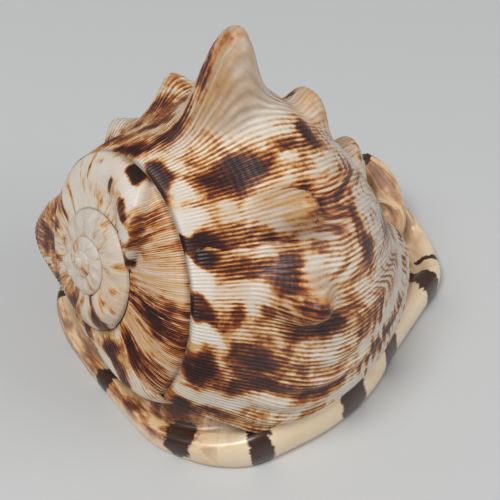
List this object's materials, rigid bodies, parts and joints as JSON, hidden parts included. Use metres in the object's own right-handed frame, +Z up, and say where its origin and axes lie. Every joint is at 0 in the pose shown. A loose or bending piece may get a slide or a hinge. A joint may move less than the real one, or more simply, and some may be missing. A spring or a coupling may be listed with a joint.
{
  "type": "helmet shell",
  "caption": "Large knobbed sea snail shell with a flat rolled-lip underside, lying aperture down; a display or still-life prop.",
  "frame": {"origin": "on the resting plane, below the centre of the shell's box", "axes": "+X from the spire towards the canal at the front, -Y towards the rolled outer lip, +Z up from the flat underside"},
  "size_m": [0.1847, 0.1542, 0.1649],
  "materials": {
    "shell": "satin, glossy on the lip"
  },
  "bodies": {
    "root": {"shell": "shell"}
  },
  "joints": []
}
